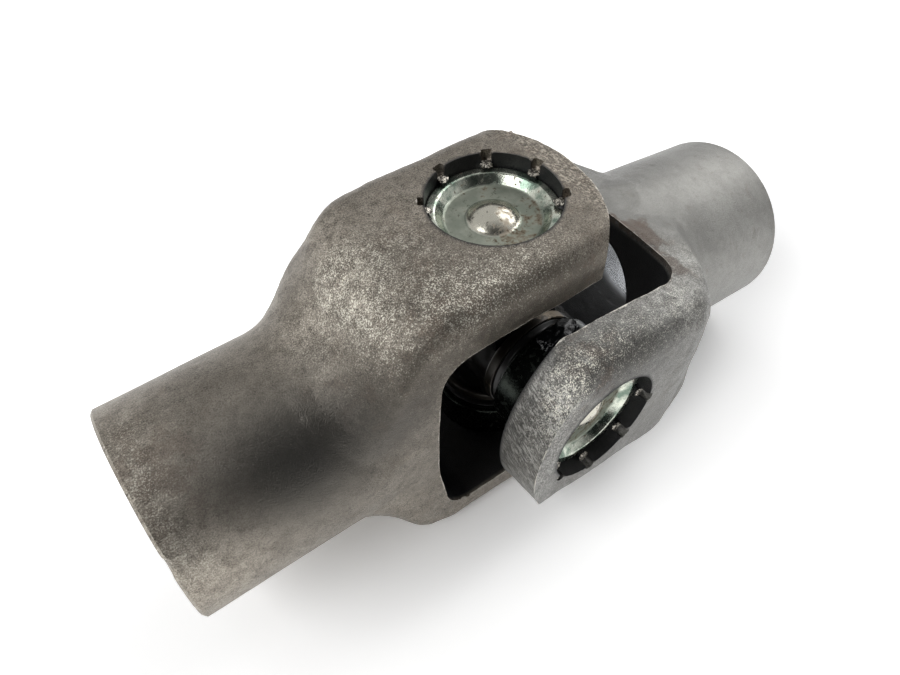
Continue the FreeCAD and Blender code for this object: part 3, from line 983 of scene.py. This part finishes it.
def grease_lump(name, middle, radii, axes, seed):
    """Ball of points at longitudes and latitudes; each radius is 1 plus a sum of waves."""
    rows, columns = 60, 90
    a = np.linspace(0, math.pi, rows)[:, None]
    b = np.arange(columns)[None, :] / columns * 2 * math.pi
    ball = np.stack([np.sin(a) * np.cos(b), np.sin(a) * np.sin(b), np.cos(a) + 0 * b], axis=-1)
    field = waves(ball.reshape(-1, 3), 1.3, seed).reshape(rows, columns)
    field += 0.4 * waves(ball.reshape(-1, 3), 0.5, seed + 1, 60).reshape(rows, columns)
    grid = ball * (1 + 0.08 * field[..., None]) * np.array(radii) + np.array(middle)
    return merged(mesh_from_grid(name, to_world(grid, axes), wrap_columns=True))


grease_mesh = grease_lump("grease_lump", (0.8, 12.1, 18.2), (4.2, 1.5, 2.7), trunnion_axes["near"], 31)
place_piece("grease_lump", grease_mesh, "right", wet_grease())

# %% [markdown]
# ## Floor, lamps and sky
# The photograph was taken on white paper in soft light from both ends of the joint, with the darker room
# on the camera's side. Together the sky and the lamps give plain daylight, at which a colour comes out
# about as it is written. Only what the camera and the gloss see of the floor is topped up to white, so
# the shadow stays and the object gets no extra light.

# %% Floor
def white_floor():
    """White paper. For the camera and for gloss it is over-exposed, as in the photograph: the same paper
    with its light counted half as much again, so that it goes white outside the shadow."""
    f = Finish("white_paper")
    camera_ray, gloss_ray = [f.node("ShaderNodeLightPath", out=kind) for kind in ("Is Camera Ray", "Is Glossy Ray")]
    seen = camera_ray + gloss_ray
    paper = f.node("ShaderNodeBsdfDiffuse", {}, {"Color": seen * 0.46 + 0.86})
    glow = f.node("ShaderNodeEmission", {}, {"Color": (1.0, 1.0, 1.0), "Strength": seen * 0.15})
    f.end(f.node("ShaderNodeAddShader", {}, {0: paper, 1: glow}))
    return f.material


floor_half = 3.0
floor_mesh = bpy.data.meshes.new("floor")
floor_mesh.from_pydata([(-floor_half, -floor_half, 0), (floor_half, -floor_half, 0),
                        (floor_half, floor_half, 0), (-floor_half, floor_half, 0)], [], [(0, 1, 2, 3)])
floor_mesh.materials.append(white_floor())
floor = loose_object("floor", floor_mesh)
floor.location.z = -0.0002


# %% Sky and lamps
def toward(azimuth, elevation):
    """Direction with this azimuth from +X and this height over the floor, both in degrees."""
    a, e = math.radians(azimuth), math.radians(elevation)
    return np.array([math.cos(e) * math.cos(a), math.cos(e) * math.sin(a), math.sin(e)])


def soft_sky(bright, dim):
    """Even whitish sky with one dim side, where the room is."""
    world = bpy.data.worlds.new("soft_sky")
    world.use_nodes = True
    tree = world.node_tree
    tree.nodes.clear()
    place = tree.nodes.new("ShaderNodeTexCoord")
    dot = tree.nodes.new("ShaderNodeVectorMath")
    dot.operation = "DOT_PRODUCT"
    tree.links.new(place.outputs["Generated"], dot.inputs[0])
    dot.inputs[1].default_value = tuple(toward(*room_side))
    share = tree.nodes.new("ShaderNodeMapRange")
    share.interpolation_type = "SMOOTHSTEP"
    tree.links.new(dot.outputs["Value"], share.inputs[0])
    for socket, value in ((1, 0.30), (2, 0.85), (3, bright), (4, dim)):
        share.inputs[socket].default_value = value
    seen = tree.nodes.new("ShaderNodeLightPath")
    either = tree.nodes.new("ShaderNodeMix")
    either.data_type = "FLOAT"
    tree.links.new(seen.outputs["Is Camera Ray"], either.inputs[0])
    tree.links.new(share.outputs[0], either.inputs[2])
    either.inputs[3].default_value = 1.0
    sky = tree.nodes.new("ShaderNodeBackground")
    sky.inputs["Color"].default_value = (1.0, 1.0, 1.0, 1.0)
    tree.links.new(either.outputs[0], sky.inputs["Strength"])
    output = tree.nodes.new("ShaderNodeOutputWorld")
    tree.links.new(sky.outputs[0], output.inputs["Surface"])
    return world


def soft_lamp(name, azimuth, elevation, size, light, away=1400.0):
    """Square soft lamp that faces the joint. Its power gives the light asked for, in parts of what a
    plain white sky gives: power = light * pi^2 * away^2."""
    data = bpy.data.lights.new(name, "AREA")
    data.size = size * MM
    data.energy = light * math.pi ** 2 * (away * MM) ** 2
    lamp = loose_object(name, data)
    lamp.location = Vector(toward(azimuth, elevation) * away * MM)
    lamp.rotation_euler = (Vector((0, 0, 0.03)) - lamp.location).to_track_quat("-Z", "Y").to_euler()
    return lamp


room_side = (-120.0, 34.0)
bpy.context.scene.world = soft_sky(0.56, 0.015)
soft_lamp("window_left", 180.0, 42.0, 900.0, 0.56)
soft_lamp("window_right", 10.0, 40.0, 900.0, 0.33)
bpy.context.scene.view_settings.view_transform = "Standard"
